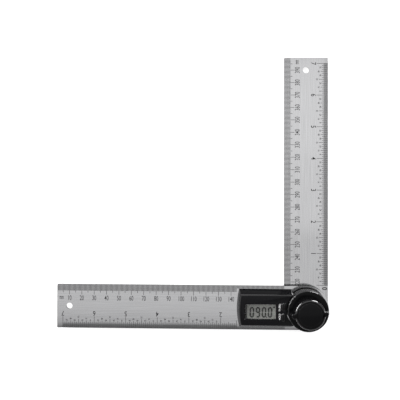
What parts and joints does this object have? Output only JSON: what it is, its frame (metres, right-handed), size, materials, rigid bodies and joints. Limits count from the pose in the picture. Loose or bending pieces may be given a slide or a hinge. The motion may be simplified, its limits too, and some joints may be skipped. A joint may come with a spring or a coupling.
{
  "type": "digital angle finder",
  "caption": "Digital angle finder: two ruled steel arms lap at a pivot with a winged lock knob, and a case with an angle display and two buttons sits on one arm.",
  "frame": {"origin": "on the pivot axis, at the back face of the lower, moving arm", "axes": "+Z along the pivot axis, out of the display; at the rest reading of 90 degrees the display arm points to -X and the moving arm points to +Y"},
  "size_m": [0.2175, 0.2175, 0.0208],
  "materials": {
    "blade_steel": "satin rolled stainless steel with etched black graduations",
    "bright_steel": "bright plated steel",
    "spring_steel": "dark spring steel",
    "case_plastic": "glossy black",
    "knob_plastic": "semi-gloss black",
    "button_plastic": "semi-gloss black",
    "cover_plastic": "matt black",
    "window_clear": "clear polished acrylic",
    "lcd_glass": "polarised display glass",
    "lcd_film": "greenish grey reflector film",
    "board_green": "green solder mask",
    "epoxy_black": "black potting resin",
    "gold_plate": "thin gold plate",
    "bronze": "oiled sintered bronze",
    "brass": "turned brass",
    "rubber_grey": "layered conductive rubber",
    "rubber_black": "soft rubber",
    "washer_white": "self-lubricating white acetal"
  },
  "bodies": {
    "display_arm": {"fixed_blade": "blade_steel", "display_case": "case_plastic", "case_floor": "case_plastic", "lcd_window": "window_clear", "lcd_glass": "lcd_glass", "lcd_reflector": "lcd_film", "contact_strips": "rubber_grey", "circuit_board": "board_green", "processor_blob": "epoxy_black", "button_switches": "bright_steel", "battery_cell": "bright_steel", "battery_contact_positive": "gold_plate", "battery_contact_negative": "gold_plate", "case_screws": "bright_steel", "board_screws": "bright_steel", "stator_board": "board_green", "sensor_pins": "gold_plate", "pivot_bush": "bronze", "wave_washer": "bright_steel"},
    "zero_key": {"zero_button": "button_plastic"},
    "hold_key": {"hold_button": "button_plastic"},
    "battery_lid": {"battery_cover": "cover_plastic", "cover_seal": "rubber_black"},
    "moving_arm": {"moving_blade": "blade_steel", "pivot_stud": "bright_steel", "rotor_disc": "board_green", "friction_washer": "washer_white", "stop_ring": "spring_steel"},
    "clamp_washer": {"pressure_washer": "bright_steel"},
    "knob": {"lock_knob": "knob_plastic", "knob_insert": "brass", "knob_cap": "knob_plastic"}
  },
  "joints": [
    {"name": "blade_swing", "type": "hinge", "parent": "display_arm", "child": "moving_arm", "pos_m": [0, 0, 0], "axis": [0, 0, 1], "continuous": true},
    {"name": "clamp_lift", "type": "slide", "parent": "moving_arm", "child": "clamp_washer", "axis": [0, 0, 1], "range_m": [0, 0.00076]},
    {"name": "knob_turn", "type": "hinge", "parent": "clamp_washer", "child": "knob", "pos_m": [0, 0, 0.0056], "axis": [0, 0, 1], "range_deg": [0, 270]},
    {"name": "zero_press", "type": "slide", "parent": "display_arm", "child": "zero_key", "axis": [0, 0, -1], "range_m": [0, 0.00035], "stiffness_N_per_m": 2500, "springref_m": -0.0004},
    {"name": "hold_press", "type": "slide", "parent": "display_arm", "child": "hold_key", "axis": [0, 0, -1], "range_m": [0, 0.00035], "stiffness_N_per_m": 2500, "springref_m": -0.0004},
    {"name": "cover_twist", "type": "hinge", "parent": "display_arm", "child": "battery_lid", "pos_m": [-0.0372, 0, 0.003], "axis": [0, 0, -1], "range_deg": [0, 30]}
  ],
  "couplings": [
    {"joint": "clamp_lift", "follows": "knob_turn", "m_per_rad": 0.00015915}
  ]
}
